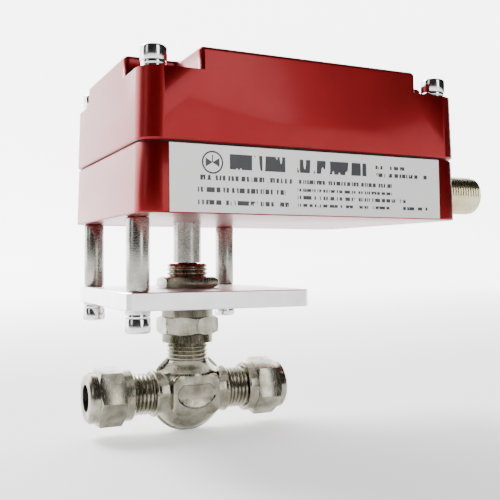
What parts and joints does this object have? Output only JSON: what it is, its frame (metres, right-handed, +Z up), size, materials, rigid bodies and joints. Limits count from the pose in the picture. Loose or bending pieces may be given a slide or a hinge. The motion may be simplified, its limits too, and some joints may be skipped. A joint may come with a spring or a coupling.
{
  "type": "zone valve",
  "caption": "Electrically actuated needle valve: tube fittings at both ends, a panel plate on three posts, and a sealed gear-motor housing with a round connector.",
  "frame": {"origin": "centre of the inlet tube bore's mouth, on the flow axis", "axes": "+X along the flow from inlet to outlet, +Y to the back, +Z up along the valve stem to the actuator housing"},
  "size_m": [0.1193, 0.078, 0.1081],
  "materials": {
    "red_casting": "gloss enamel over a die casting",
    "black_rubber": "matt moulded rubber",
    "label_white": "satin printed film",
    "bright_screw": "bright plated steel",
    "connector_brass": "nickel over brass, worn to gold at the rim",
    "black_plastic": "moulded",
    "contact_gold": "gold flash",
    "satin_steel": "turned and polished",
    "plate_aluminium": "fine brushed and clear anodised",
    "valve_steel": "machined stainless",
    "packing_white": "pressed fluoropolymer",
    "drive_steel": "ground",
    "gear_brass": "hobbed",
    "motor_black": "satin black over laminations",
    "sensor_blue": "moulded",
    "board_green": "solder mask",
    "component_black": "moulded packages"
  },
  "bodies": {
    "frame": {"housing_base": "red_casting", "cover_gasket": "black_rubber", "housing_cover": "red_casting", "rating_label": "label_white", "cover_flat_washers": "bright_screw", "cover_lock_washers": "bright_screw", "cover_screws": "bright_screw", "connector_shell": "connector_brass", "connector_insert": "black_plastic", "connector_pins": "contact_gold", "connector_seal": "black_rubber", "standoff_front_left": "satin_steel", "standoff_back_left": "satin_steel", "standoff_back_right": "satin_steel", "post_studs": "bright_screw", "mounting_plate": "plate_aluminium", "plate_flat_washers": "bright_screw", "plate_lock_washers": "bright_screw", "plate_screws": "bright_screw", "valve_body": "valve_steel", "bonnet": "valve_steel", "panel_nut": "valve_steel", "stem_packing": "packing_white", "packing_gland": "valve_steel", "inlet_tube_nut": "valve_steel", "outlet_tube_nut": "valve_steel", "back_ferrules": "valve_steel", "front_ferrules": "valve_steel", "lower_bearing": "drive_steel", "upper_bearing": "drive_steel", "intermediate_arbor": "drive_steel", "motor_body": "motor_black", "motor_screws": "drive_steel", "gear_plate": "plate_aluminium", "gear_plate_spacers": "drive_steel", "gear_plate_screws": "drive_steel", "position_sensor": "sensor_blue", "circuit_board": "board_green", "board_components": "component_black", "board_spacers": "gear_brass", "board_screws": "drive_steel"},
    "drive": {"output_shaft": "drive_steel", "output_gear": "gear_brass", "shaft_retaining_ring": "drive_steel"},
    "stem": {"valve_stem": "satin_steel", "stem_coupling": "satin_steel", "coupling_set_screw": "bright_screw"},
    "idler": {"intermediate_gear": "gear_brass"},
    "motor_rotor": {"motor_pinion": "gear_brass", "motor_shaft": "drive_steel"},
    "sensor_rotor": {"sensor_shaft": "drive_steel", "sensor_gear": "gear_brass"}
  },
  "joints": [
    {"name": "motor_turn", "type": "hinge", "parent": "frame", "child": "motor_rotor", "pos_m": [0.065, 0, 0.0527], "axis": [0, 0, 1], "range_deg": [0, 18000]},
    {"name": "idler_turn", "type": "hinge", "parent": "frame", "child": "idler", "pos_m": [0.05, 0, 0.0527], "axis": [0, 0, 1], "range_deg": [-4500, 0]},
    {"name": "drive_turn", "type": "hinge", "parent": "frame", "child": "drive", "pos_m": [0.032, 0, 0.0527], "axis": [0, 0, 1], "range_deg": [0, 900]},
    {"name": "stem_lift", "type": "slide", "parent": "drive", "child": "stem", "axis": [0, 0, 1], "range_m": [0, 0.00227]},
    {"name": "sensor_turn", "type": "hinge", "parent": "frame", "child": "sensor_rotor", "pos_m": [0.032, 0.02, 0.0527], "axis": [0, 0, 1], "range_deg": [-2700, 0]}
  ],
  "couplings": [
    {"joint": "drive_turn", "follows": "stem_lift", "rad_per_m": 6927.4},
    {"joint": "idler_turn", "follows": "stem_lift", "rad_per_m": -34637},
    {"joint": "motor_turn", "follows": "stem_lift", "rad_per_m": 138550},
    {"joint": "sensor_turn", "follows": "stem_lift", "rad_per_m": -20782}
  ]
}
